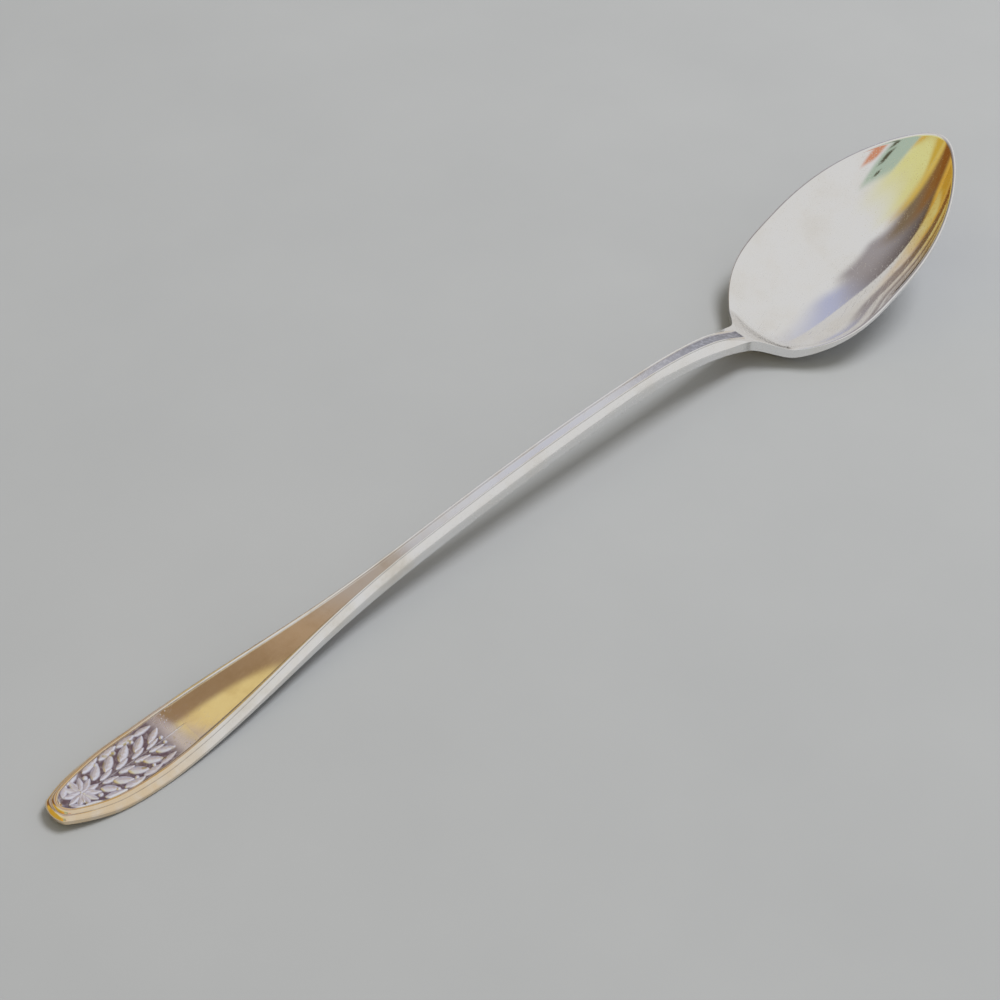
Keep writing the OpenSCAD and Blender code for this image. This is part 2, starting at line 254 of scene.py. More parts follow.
def handle_rings(x, relief):
    """Half sections of the handle, from the middle of its top round to the middle of its back.
    relief is 1 where the panel, bead and crease are struck, and 0 where the top is plain."""
    col = lambda a: np.asarray(a)[:, None]
    ex, ey = (col(a) for a in panel_edge(x))
    x1, w, z = col(x), col(outline_half(x)), col(edge_height(x))
    z_in = edge_height(ex)
    crown = col(mix(SHANK_CROWN, BLADE_CROWN, flare(x)))
    bead_w = col(mix(SHANK_BEAD_W, BEAD_W, flare(x)))
    side = col(mix(mix(SHANK_SIDE, BLADE_SIDE, thin(x)), NECK_SIDE, neck_swell(x)))
    belly = col(BACK_BELLY * (1 - thin(x)))
    start = bead_w / np.maximum(bead_w + BEVEL_W, w - ey)
    foot_in = z_in + crown
    alive = col(relief + 0 * x)
    facet = col(smooth((x - FACET_START) / FACET_FADE))
    low = z - FACET_SHARE * side * facet
    recess = col(recess_at(x) * np.where(flare(x) > 0, 1, relief))
    plain = lambda t: mix(foot_in, z + crown, t)

    def point_at(t, height):
        return np.stack([mix(ex, x1, t), mix(ey, w, t), height + 0 * t * ex], -1)

    q = np.linspace(0, 1, PANEL_N)[None, :]
    dish = col(PANEL_DISH * flare(x))
    panel = np.stack([ex + 0 * q, ey * q, foot_in - recess - dish * (1 - q * q)], -1)

    s = np.linspace(0, 1, BEAD_N + 1)[None, 1:]
    arch = BEAD_H * np.sin(np.pi * s) ** BEAD_ROUND - CREASE * s**CREASE_SHARP
    bead = point_at(start * s, plain(start * s) + mix(-recess, 0, s) + arch * alive)

    gap = np.maximum(w - ey, TINY)
    t_edge = 1 - np.minimum(EDGE_R / gap, EDGE_LIMIT)
    s = (np.linspace(0, 1, BEVEL_N + 1)[None, 1:]) ** BEVEL_CROWDING
    t = mix(start, t_edge, s)

    def bevel_height(t):
        v = (t - start) / (1 - start)
        swell = crown * mix(BEVEL_SWELL_SHARE, FACET_SWELL, facet) * np.sin(np.pi * v)
        crease = CREASE * alive * np.exp(-((t - start) * gap / CREASE_REACH))
        return mix(plain(t), low, v) + swell - crease

    bevel = point_at(t, bevel_height(t))
    s = np.linspace(0, 1, EDGE_N + 1)[None, 1:]
    edge = point_at(bezier(t_edge, 1, 1, s), bezier(bevel_height(t_edge), low, low - EDGE_R, s))
    s = np.linspace(0, 1, SIDE_N + 1)[None, 1:]
    wall = point_at(1 + 0 * s, mix(low - EDGE_R, z - side * SIDE_SHARE, s))

    def back_point(q, drop):
        return np.stack([mix(ex, x1, q), w * q, mix(z_in, z, q) - drop], -1)

    s = np.linspace(0, 1, CORNER_N + 1)[None, 1:]
    foot = BACK_SHARE - CORNER_REACH
    drop = side * bezier(SIDE_SHARE, 1, 1, s) + belly * CORNER_BELLY * s * s
    corner = back_point(bezier(1, 1, foot, s), drop)
    s = np.linspace(1, 0, BACK_N + 1)[None, 1:]
    back = back_point(foot * s, side + belly * mix(CORNER_BELLY, 1, 1 - s * s))
    return np.concatenate([panel, bead, bevel, edge, wall, corner, back], 1)


def inner_half(x):
    """Half width of the hollow, inside the rim."""
    return (1 - 2 * RIM_W / BOWL_W) * outline_half(BOWL_START + (x - BOWL_START) * BOWL_LEN / INNER_LEN)


def arc_share(q, w, d):
    """Height under the rim at share q of the half width w, as part of an arc d deep in the middle."""
    h = np.maximum(d, w / 1000)
    r = (w * w + h * h) / (2 * h)
    return (np.sqrt(np.maximum(0, r * r - (q * w) ** 2)) - (r - h)) / h


def hollow_z(x, y):
    """Height of the bowl's inside at a place."""
    w = np.maximum(inner_half(x), TINY)
    d = inner_depth(x)
    return edge_height(x) - d * arc_share(np.minimum(1, y / w), w, d)


def shell_z(x, y):
    """Height of the bowl's back at a place."""
    w = np.maximum(outline_half(x), TINY)
    d = outer_depth(x)
    return edge_height(x) - outer_side(x) - d * arc_share(np.minimum(1, y / w), w, d)


def keel_x(x):
    """Where the ring that meets the rim at x crosses the middle: the rings lean over towards the tip."""
    return x - KEEL_SHARE * BOWL_LEN * clamp01((x - BOWL_START) / BOWL_LEN) ** KEEL_POWER


def bowl_rings(x):
    """Half sections of the bowl: the hollow, the rim and the shell."""
    col = lambda a: np.asarray(a)[:, None]
    ix = BOWL_START + (x - BOWL_START) * INNER_LEN / BOWL_LEN
    iw, w, z = col(inner_half(ix)), col(outline_half(x)), col(edge_height(x))
    ix, x1 = col(ix), col(x)
    heel = handle_rings(np.array([BOWL_START]), 0)[0, :TOP_N, 1]
    heel = clamp01(heel / heel[-1])[None, :]
    even = np.sin(np.linspace(0, np.pi / 2, TOP_N))[None, :]
    q = mix(heel, even, smooth((x1 - BOWL_START) / NECK_LEN))
    reach = np.hypot(iw, ix - keel_x(ix))
    soft = (RIM_R + (HEEL_R - RIM_R) * heel_fade(x1)) * smooth((x1 - BOWL_START) / HEEL_START_LEN)
    q = q * (1 - np.minimum(HEEL_LIMIT, soft / reach))
    px, py = mix(keel_x(ix), ix, q), iw * q
    basin = np.stack([px, py, hollow_z(px, py)], -1)

    # The rim's top, rounded to the hollow on one side and to the shell on the other
    inner_edge = np.stack([ix, iw, edge_height(ix)], -1)
    outer_edge = np.stack([x1, w, z], -1)
    crest = (inner_edge + outer_edge) / 2
    s = np.linspace(0, 1, EDGE_N // 2 + 1)[None, 1:, None]
    low = outer_edge - [0, 0, RIM_OUTER_R]
    inner_half_rim = bezier(basin[:, -1:], inner_edge, crest, s)
    rim = np.concatenate([inner_half_rim, bezier(crest, outer_edge, low, s)], 1)
    foot = z - col(outer_side(x)) * SIDE_SHARE
    s = np.linspace(0, 1, SIDE_N + 1)[None, 1:]
    wall = np.stack([x1 + 0 * s, w + 0 * s, mix(z - RIM_OUTER_R, foot, s)], -1)

    # The corner under the side turns into the shell one step in from the outline
    turn = np.pi / 2 * (1 - 1 / (BACK_N + 1))
    s = np.linspace(0, 1, CORNER_N + 1)[None, 1:]
    q = bezier(1, 1, math.sin(turn), s)
    px, py = mix(keel_x(x1), x1, q), w * q
    corner = np.stack([px, py, mix(foot, shell_z(px, py), smooth(s))], -1)
    q = np.sin(np.linspace(turn, 0, BACK_N + 1))[None, 1:]
    px, py = mix(keel_x(x1), x1, q), w * q
    shell = np.stack([px, py, shell_z(px, py)], -1)
    return np.concatenate([basin, rim, wall, corner, shell], 1)


def rings(x):
    """Half sections along the spoon. The handle's melt into the bowl's along the neck, and the groove
    keeps its depth there until its square end."""
    m = smooth((x - NECK_START) / NECK_LEN)[:, None, None]
    handle_x = np.minimum(x, BOWL_START)
    plain = handle_rings(handle_x, 0)
    struck = handle_rings(handle_x, 1 - smooth((x - GROOVE_END) / GROOVE_END_SOFT)) - plain
    bowl = bowl_rings(np.maximum(x, NECK_START))
    out = np.where(m < 1, mix(plain, bowl, m), bowl) + struck
    out[..., 2] = np.maximum(out[..., 2], 0)
    return out


# Columns of points across the half section, counted from the middle of the top
BEAD_IN, BEAD_OUT = PANEL_N - 1, PANEL_N + BEAD_N - 1
COLUMNS = TOP_N + EDGE_N + SIDE_N + CORNER_N + BACK_N
BEAD_END = GROOVE_END + GROOVE_END_SOFT

# Rings round the nose and along the bowl, and where the fine ones under the flower spray end
NOSE_RINGS, BOWL_RINGS, FINE_END = 16, 171, 26.0
# Points closer than this, in millimetres, are one point
WELD = 0.0001


def stations():
    """Places of the rings along the spoon, closest where the surface turns fastest."""
    nose = END_ROUND * (1 - np.cos(np.linspace(0, np.pi / 2, NOSE_RINGS)))
    # Each stretch of the handle: its start, its end and how many rings it has
    stretches = [
        (END_ROUND, FINE_END, 110),
        (FINE_END, BLADE_LEN, 60),
        (BLADE_LEN, NECK_START, 76),
        (NECK_START, GROOVE_END - GROOVE_END_SOFT, 30),
        (GROOVE_END - GROOVE_END_SOFT, BEAD_END, 12),
        (BEAD_END, BOWL_START, 8),
    ]
    handle = [np.linspace(a, b, n + 1)[1:] for a, b, n in stretches]
    bowl = BOWL_START + BOWL_LEN * (1 - np.cos(np.linspace(0, np.pi, BOWL_RINGS)[1:])) / 2
    return np.concatenate([nose] + handle + [bowl])


def newell(points, face):
    """Normal of a face, as long as twice its area."""
    p = points[list(face)]
    return np.cross(p, np.roll(p, -1, 0)).sum(0)


class Surface:
    """The whole spoon as rings of shared points. Pieces are cut from it and keep its smooth normals.
    right and left hold the points' numbers, ring by ring and column by column."""

    def __init__(self, x):
        half = rings(x)
        self.x = x
        self.n = len(x)
        both = np.concatenate([half.reshape(-1, 3), (half * [1, -1, 1]).reshape(-1, 3)])
        cells = np.round(both / WELD).astype(np.int64)
        first, inverse = np.unique(cells, axis=0, return_index=True, return_inverse=True)[1:]
        self.points = both[first]
        self.right, self.left = inverse.reshape(2, self.n, COLUMNS)
        self.normals = self.smooth_normals()

    def smooth_normals(self):
        total = np.zeros_like(self.points)
        for grid, sign in ((self.right, 1), (self.left, -1)):
            corners = [grid[:-1, :-1], grid[1:, :-1], grid[1:, 1:], grid[:-1, 1:]]
            a, b, c, d = (self.points[k] for k in corners)
            face = sign * np.cross(c - a, d - b)
            for k in corners:
                np.add.at(total, k.ravel(), face.reshape(-1, 3))
        total[np.abs(self.points[:, 1]) < WELD, 1] = 0
        return total / (np.linalg.norm(total, axis=1, keepdims=True) + 1e-12)

    def at(self, x):
        """Number of the ring nearest to a place."""
        return int(np.argmin(np.abs(self.x - x)))

    def patch(self, rows, columns):
        """Faces on both sides between the given rings and neighbouring pairs of columns."""
        faces = []
        for i in rows:
            for a, b in columns:
                r, l = self.right, self.left
                faces.append((r[i, a], r[i + 1, a], r[i + 1, b], r[i, b]))
                faces.append((l[i, a], l[i, b], l[i + 1, b], l[i + 1, a]))
        return faces

    def foot(self, rows, last):
        """The strip that the bead stands on, with the bead's own points at its last ring."""
        faces = self.patch([i for i in rows if i != last - 1], [(BEAD_IN, BEAD_OUT)])
        if last - 1 in rows:
            for g, turn in ((self.right, 1), (self.left, -1)):
                face = [g[last - 1, BEAD_IN], *g[last, BEAD_IN : BEAD_OUT + 1], g[last - 1, BEAD_OUT]]
                faces.append(tuple(face[::turn]))
        return faces

    def cap(self, i, columns, facing):
        """The flat face across a ring that closes a piece towards one of its neighbours."""
        face = [self.right[i, j] for j in columns] + [self.left[i, j] for j in columns[-2:0:-1]]
        turned = newell(self.points, face)[0] * facing > 0
        return tuple(face if turned else face[::-1])


def tidy_face(face, points):
    """The face without repeated corners, or None if it has no area or lies in the middle plane."""
    kept = [k for n, k in enumerate(face) if k != face[n - 1]]
    if len(set(kept)) < 3 or np.abs(points[kept, 1]).max() < WELD:
        return None
    return tuple(kept)


def place(points):
    """From the spoon's millimetres to the frame's metres."""
    return (np.asarray(points) - [LENGTH / 2, 0, 0]) * 0.001


def new_piece(name, points, faces, material, loop_normals=None):
    mesh = bpy.data.meshes.new(name)
    mesh.from_pydata(place(points).tolist(), [], faces)
    mesh.polygons.foreach_set("use_smooth", np.ones(len(mesh.polygons), bool))
    if loop_normals is not None:
        mesh.normals_split_custom_set(loop_normals)
    mesh.materials.append(material)
    piece = bpy.data.objects.new(name, mesh)
    bpy.context.scene.collection.objects.link(piece)
    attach(piece, "root")
    return piece


def give(piece, attribute, values):
    """Stores one number for each point of a piece, which its material reads."""
    layer = piece.data.attributes.new(attribute, "FLOAT", "POINT")
    layer.data.foreach_set("value", np.asarray(values, np.float32))


def cut_piece(surface, name, smooth_faces, flat_faces, material):
    """One closed piece of the surface. The smooth faces show, and the flat ones lie inside the metal."""
    points = surface.points
    shown = [f for f in (tidy_face(f, points) for f in smooth_faces) if f]
    inner = [f for f in (tidy_face(f, points) for f in flat_faces) if f]
    used, local = np.unique(np.concatenate([np.array(f) for f in shown + inner]), return_inverse=True)
    counts = [len(f) for f in shown + inner]
    faces = [tuple(part.tolist()) for part in np.split(local, np.cumsum(counts)[:-1])]
    normals = [surface.normals[k] for f in shown for k in f]
    for f in inner:
        n = newell(points, f)
        normals += [n / np.linalg.norm(n)] * len(f)
    piece = new_piece(name, points[used], faces, material, np.array(normals).tolist())
    for attribute, values in (("tarnish_and_shade", painted_shade), ("patina_and_reflection", patina_and_reflection), ("struck", groove_cool_shade), ("satin", satin)):
        give(piece, attribute, values(surface)[used])
    return piece


def painted_shade(surface):
    """1 where the silver is darkest, and 0 where it is clean: painted shade, which also roughens the silver,
    in the valleys beside the bead, in the groove near the neck and on the handle end's edges and sides."""
    dark = np.zeros(len(surface.points))
    end = surface.at(BEAD_END)
    x = surface.x[:end]
    groove = GROOVE_SHADE_AND_DULL * smooth((x - GROOVE_SHADE_START) / GROOVE_SHADE_FADE)
    rise = smooth((x - SIDE_SHADE_START) / SIDE_SHADE_RISE)
    sides = SIDE_SHADE_AND_DULL * rise * smooth((SIDE_SHADE_END - x) / SIDE_SHADE_FALL)
    # Painted shade in the groove near the neck, in the creases on each side of the bead and on the handle
    # end's edges and sides
    for grid in (surface.right, surface.left):
        dark[grid[:end, :BEAD_IN]] = groove[:, None]
        dark[grid[:end, BEAD_IN]] = np.maximum(mix(SHANK_CREASE_SHADE, BLADE_INNER_SHADE, flare(x)), groove)
        dark[grid[:end, BEAD_OUT]] = mix(SHANK_CREASE_SHADE, BLADE_OUTER_SHADE, flare(x))
        dark[grid[:end, TOP_N : TOP_N + EDGE_N + SIDE_N]] = sides[:, None]
    return dark


def patina_and_reflection(surface):
    """1 where the silver has yellowed, on the border round the handle's end, and where a gold reflection is
    painted inside the bowl along its near rim, and 0 elsewhere."""
    yellow = smooth((PATINA_START - surface.points[:, 0]) / (PATINA_START - PATINA_END))
    inside = surface.left[:, :TOP_N]
    x, y = surface.points[inside, 0], surface.points[inside, 1]
    share = -y / np.maximum(outline_half(x), TINY)
    # Painted gold reflection inside the bowl along its near rim
    near_rim = smooth((share - GOLD_REFLECTION_EDGE) / GOLD_REFLECTION_EDGE_FADE) * smooth((x - GOLD_REFLECTION_START) / GOLD_REFLECTION_FADE)
    yellow[inside] = np.maximum(yellow[inside], near_rim)
    return yellow


def groove_cool_shade(surface):
    """1 in the groove near the neck, where the silver is given a cool tint and a slate-coloured painted
    shade and is satin, and 0 elsewhere.
    """
    cool = np.zeros(len(surface.points))
    end = surface.at(BEAD_END)
    for grid in (surface.right, surface.left):
        cool[grid[:end, : BEAD_IN + 1]] = smooth((surface.x[:end] - GROOVE_SHADE_START) / GROOVE_SHADE_FADE)[:, None]
    return cool


def satin(surface):
    """1 on top where the neck falls into the bowl, a little less polished, and 0 elsewhere."""
    matt = np.zeros(len(surface.points))
    along = smooth((surface.x - SATIN_START) / SATIN_FADE) * smooth((SATIN_END - surface.x) / SATIN_FADE)
    for grid in (surface.right, surface.left):
        matt[grid[:, :TOP_N]] = along[:, None]
    return matt


def spoon_pieces(bright, aged):
    """One piece for each node of the part, cut from the same surface."""
    surface = Surface(stations())
    end = surface.at(BEAD_END)
    pairs = [(j, j + 1) for j in range(COLUMNS - 1)]
    over = [(a, b) for a, b in pairs if BEAD_IN <= a < BEAD_OUT]
    beside = [pair for pair in pairs if pair not in over]
    whole = list(range(COLUMNS))
    flush = [j for j in whole if j <= BEAD_IN or j >= BEAD_OUT]
    stretches = [
        ("blade", 0, BLADE_LEN, aged, "aged_silver"),
        ("shank", BLADE_LEN, NECK_START, bright, "polished_silver"),
        ("neck", NECK_START, BOWL_START, bright, "polished_silver"),
        ("bowl", BOWL_START, LENGTH, bright, "polished_silver"),
    ]
    for node, start_x, end_x, material, node_slot in stretches:
        first, last = surface.at(start_x), surface.at(end_x)
        rows = range(first, last)
        skin = surface.patch(rows, beside) + surface.patch([i for i in rows if i >= end], over)
        inner = surface.foot([i for i in rows if i < end], end)
        for i, facing in ((first, -1), (last, 1)):
            if 0 < i < surface.n - 1:
                inner.append(surface.cap(i, flush if i < end else whole, facing))
        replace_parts(cut_piece(surface, node + "_surface", skin, inner, material), node)
    foot = [f[::-1] for f in surface.foot(range(end), end)]
    bead = cut_piece(surface, "bead_surface", surface.patch(range(end), over), foot, aged)
    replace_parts(bead, "bead_border")


# Relief of the flower spray on the panel, in millimetres
SPRAY_START, SPRAY_END, SPRAY_FADE = BORDER_W + 0.15, 23.5, 2.5
SPRAY_ROWS, SPRAY_COLUMNS = 340, 129
SPRAY_LIFT, SPRAY_SINK, SPRAY_THICK = 0.012, 0.004, 0.25

# Leaves on each side of the middle: foot, angle, length, width, height
LEAVES = [
    ((2.6, 0.8), 44, 2.3, 1.1, 0.24),
    ((4.3, 2.25), 28, 3.0, 1.3, 0.28),
    ((7.1, 2.75), 17, 3.3, 1.35, 0.3),
    ((10.1, 3.15), 8, 3.3, 1.4, 0.3),
    ((13.2, 3.3), 2, 3.2, 1.3, 0.28),
    ((16.1, 3.3), -4, 2.9, 1.1, 0.24),
    ((7.6, 0.9), 42, 2.7, 1.5, 0.36),
    ((9.7, 0.95), 40, 3.0, 1.6, 0.38),
    ((12.2, 1.0), 38, 3.0, 1.6, 0.38),
    ((14.7, 1.0), 34, 2.9, 1.5, 0.36),
    ((17.0, 0.9), 28, 2.8, 1.3, 0.3),
    ((8.3, 0.3), 12, 2.5, 1.0, 0.3),
    ((11.0, 0.35), 12, 2.5, 1.05, 0.32),
    ((13.7, 0.35), 11, 2.5, 1.0, 0.3),
    ((16.2, 0.3), 10, 2.4, 0.9, 0.28),
]

# A leaf's outline and fall to its sides, as exponents, and the share of its height that its ends keep
LEAF_FORWARD, LEAF_BLUNT, LEAF_FALL, LEAF_END_SHARE = 0.85, 0.6, 1.5, 0.45
# Its sunk midrib: depth as a share of its height, width, and how fast it sets in and ends
MIDRIB_SHARE, MIDRIB_W, MIDRIB_IN, MIDRIB_OUT = 0.1, 0.2, 4, 3
# Its side ribs: depth as a share of its height, slant and number
RIB_SHARE, RIB_SLANT, RIBS = 0.05, 0.9, 4

# Berries on each side: place and radius
BERRIES = [
    ((7.0, 1.9), 0.42),
    ((9.4, 2.75), 0.36),
    ((12.4, 2.85), 0.36),
    ((15.4, 2.7), 0.32),
    ((18.9, 0.5), 0.34),
]
BERRY_H, BUMP_ROUND = 0.34, 0.7

# The blossom: its middle, its heart's radius and height, and its rings of petals, each with the number of
# petals, the angle of the first, length, width and height
BLOSSOM_AT, HEART_R, HEART_H = (5.2, 0), 0.34, 0.54
PETALS = [(11, 0, 2.7, 1.2, 0.34), (8, 22, 1.9, 1.0, 0.44), (5, 8, 1.1, 0.8, 0.52)]

# How the spray sinks into the panel at its sides and at the handle's end
SPRAY_SIDE_FADE, SPRAY_START_FADE = 0.07, 0.5

# How far the darkened ground reaches along the middle, and how it falls back and pales at its edge
GROUND_REACH, GROUND_SLANT, GROUND_FADE = 23.0, 0.35, 4.0
LEAFY_END, LEAFY_FADE, SHADE_H = 20.6, 2.6, 0.14


def panel_height(x, q):
    """Height of the panel at share q of its half width."""
    crown = mix(SHANK_CROWN, BLADE_CROWN, flare(x))
    return edge_height(x) + crown - recess_at(x) - PANEL_DISH * flare(x) * (1 - q * q)


def leaf(x, y, foot, angle, length, width, height, ribs=0):
    """A pointed leaf or petal that grows from its foot, with a sunk midrib and side ribs."""
    c, s = math.cos(math.radians(angle)), math.sin(math.radians(angle))
    u = ((x - foot[0]) * c + (y - foot[1]) * s) / length
    v = (-(x - foot[0]) * s + (y - foot[1]) * c) / (width / 2)
    half = np.sin(np.pi * clamp01(u) ** LEAF_FORWARD) ** LEAF_BLUNT
    across = np.abs(v) / np.maximum(half, TINY)
    inside = clamp01(1 - across**LEAF_FALL)
    body = height * inside * mix(LEAF_END_SHARE, 1, half)
    along = smooth(u * MIDRIB_IN) * smooth((1 - u) * MIDRIB_OUT)
    midrib = MIDRIB_SHARE * height * np.exp(-((v * width / MIDRIB_W) ** 2)) * along
    waves = np.cos(2 * np.pi * (u * ribs - np.abs(v) * RIB_SLANT)) if ribs else 0
    return np.where(half * inside > 0, body - midrib - RIB_SHARE * height * waves * inside, 0)


def bump(x, y, centre, radius, height):
    """A round berry."""
    d = ((x - centre[0]) ** 2 + (y - centre[1]) ** 2) / radius**2
    return height * clamp01(1 - d) ** BUMP_ROUND


def spray_relief(x, y):
    """Height of the flower spray: a blossom at the handle's end, and leaves and berries above it."""
    parts = [bump(x, y, BLOSSOM_AT, HEART_R, HEART_H)]
    for petals, turn, *shape in PETALS:
        parts += [leaf(x, y, BLOSSOM_AT, turn + 360 * k / petals, *shape) for k in range(petals)]
    for side in (1, -1):
        parts += [leaf(x, y * side, *shape, RIBS) for shape in LEAVES]
        parts += [bump(x, y * side, centre, radius, BERRY_H) for centre, radius in BERRIES]
    return np.maximum.reduce(parts)


def flower_spray(material):
    """The struck ornament: a closed skin just over the panel, which dives into it at its edge."""
    x = np.linspace(SPRAY_START, SPRAY_END, SPRAY_ROWS)[:, None]
    q = np.linspace(-1, 1, SPRAY_COLUMNS)[None, :] + 0 * x
    x = x + 0 * q
    y = q * panel_half(x)
    height = spray_relief(x, y)
    inside = smooth((1 - np.abs(q)) / SPRAY_SIDE_FADE) * smooth((x - SPRAY_START) / SPRAY_START_FADE)
    inside *= smooth((SPRAY_END - x) / SPRAY_FADE)
    ground = inside * smooth((GROUND_REACH - x - GROUND_SLANT * np.abs(y)) / GROUND_FADE)
    lift = mix(-SPRAY_SINK, SPRAY_LIFT, inside) + height * inside
    top = np.stack([x, y, panel_height(x, q) + lift], -1)
    base = np.stack([x, y, panel_height(x, q) - SPRAY_THICK], -1)
    points = np.concatenate([top.reshape(-1, 3), base.reshape(-1, 3)])
    m, n = x.shape
    grid = np.arange(m * n).reshape(m, n)
    quads = np.stack([grid[:-1, :-1], grid[1:, :-1], grid[1:, 1:], grid[:-1, 1:]], -1).reshape(-1, 4)
    under = quads[:, ::-1] + m * n
    rim = np.concatenate([grid[0, :], grid[1:, -1], grid[-1, -2::-1], grid[-2:0:-1, 0]])
    ahead = np.roll(rim, -1)
    walls = np.stack([rim, ahead, ahead + m * n, rim + m * n], -1)
    faces = np.concatenate([quads, under, walls]).tolist()
    piece = new_piece("flower_spray", points, faces, material)
    low = smooth((SHADE_H - height) / SHADE_H) * smooth((LEAFY_END - x) / LEAFY_FADE) * inside
    give(piece, "tarnish_and_shade", np.concatenate([low.ravel(), low.ravel()]))
    give(piece, "struck", np.concatenate([ground.ravel(), ground.ravel()]))


PER_MM = 1000.0


class Nodes:
    """Short calls for building a node tree."""

    def __init__(self, tree):
        self.tree = tree
        tree.nodes.clear()

    def add(self, kind, inputs=None, **settings):
        node = self.tree.nodes.new("ShaderNode" + kind)
        for key, value in settings.items():
            setattr(node, key, value)
        for key, value in (inputs or {}).items():
            self.set(node.inputs[key], value)
        return node

    def set(self, socket, value):
        if isinstance(value, bpy.types.NodeSocket):
            self.tree.links.new(value, socket)
        else:
            socket.default_value = value

    def math(self, operation, a, b=0.0):
        return self.add("Math", {0: a, 1: b}, operation=operation).outputs[0]

    def ramp(self, value, low, high, to_low=0.0, to_high=1.0):
        settings = {"interpolation_type": "SMOOTHSTEP"}
        inputs = {"Value": value, "From Min": low, "From Max": high, "To Min": to_low, "To Max": to_high}
        return self.add("MapRange", inputs, **settings).outputs[0]

    def blend(self, factor, a, b):
        node = self.add("Mix", data_type="RGBA")
        self.set(node.inputs["Factor"], factor)
        self.set(node.inputs["A"], a)
        self.set(node.inputs["B"], b)
        return node.outputs["Result"]

    def millimetres(self):
        """Where a point lies on its own piece, in millimetres."""
        inputs = {0: self.add("TexCoord").outputs["Object"], "Scale": PER_MM}
        return self.add("VectorMath", inputs, operation="SCALE").outputs[0]

    def noise(self, vector, scale, detail=3.0, rough=0.55):
        inputs = {"Vector": vector, "Scale": scale, "Detail": detail, "Roughness": rough}
        return self.add("TexNoise", inputs).outputs["Fac"]


def rgb(r, g, b):
    return (r, g, b, 1.0)


# The yellowed colour is tarnish on the handle's end and a painted gold reflection inside the bowl along its
# near rim
SILVER, WARM_SILVER, YELLOWED_AND_REFLECTED_GOLD = rgb(0.9, 0.89, 0.885), rgb(0.86, 0.8, 0.69), rgb(0.86, 0.69, 0.48)
COOL_SILVER, OLIVE = rgb(0.88, 0.88, 1.0), rgb(0.64, 0.55, 0.32)
# The deepest dark is tarnish in the flower spray's hollows and painted shade in the spoon's creases, groove
# and handle-end sides
TARNISH, DEEP_TARNISH_AND_SHADE = rgb(0.3, 0.2, 0.13), rgb(0.09, 0.06, 0.07)
MAUVE, SLATE = rgb(0.26, 0.2, 0.26), rgb(0.19, 0.19, 0.21)

# Noises on the silver, each as scale per millimetre, detail and, for the clouds, roughness
CLOUD, PATCH, SPECK = (0.16, 4.0, 0.6), (0.55, 2.0), (1.7, 3.0)
# Between which values of a noise it takes effect, and for some how strong it is at both
WARM_CLOUDS, TARNISH_CLOUDS, SMUDGE_CLOUDS = (0.35, 0.75), (0.5, 0.8), (0.3, 0.7)
YELLOW_PATCHES, OLIVE_PATCHES, DARK_SPECKS = (0.2, 0.6, 0.6, 1.0), (0.6, 0.7), (0.25, 0.6, 0.55, 1.0)
# Hairline scratches: angle, spacing and length in millimetres, share of the surface
SCRATCHES = [(-20, 0.16, 9.0, 0.36), (31, 0.15, 6.0, 0.3), (-78, 0.16, 5.0, 0.28)]
SCRATCH_SOFT = 0.08
# What smudges, the satin heel and the dull places add to the roughness
SMUDGE_ROUGH, SATIN_ROUGH, DULL_ROUGH = 0.06, 0.2, 0.36
# How deep scratches and specks dent the surface
SCRATCH_DEPTH, SPECK_DEPTH, DENT_STRENGTH, DENT_DISTANCE = -0.6, 0.1, 0.07, 0.00002


def scratches(n, place_mm, angle, spacing, reach, share):
    """Fine straight scratches that all run at one angle: 1 in a scratch and 0 beside it."""
    turned = n.add("Mapping", {"Vector": place_mm, "Rotation": (0, 0, math.radians(angle))}).outputs[0]
    scale = (1 / reach, 1 / spacing, 1 / spacing)
    stretched = n.add("Mapping", {"Vector": turned, "Scale": scale}).outputs[0]
    line = n.noise(stretched, 1.0, 1.0)
    return n.ramp(line, 1 - share, 1 - share + SCRATCH_SOFT)


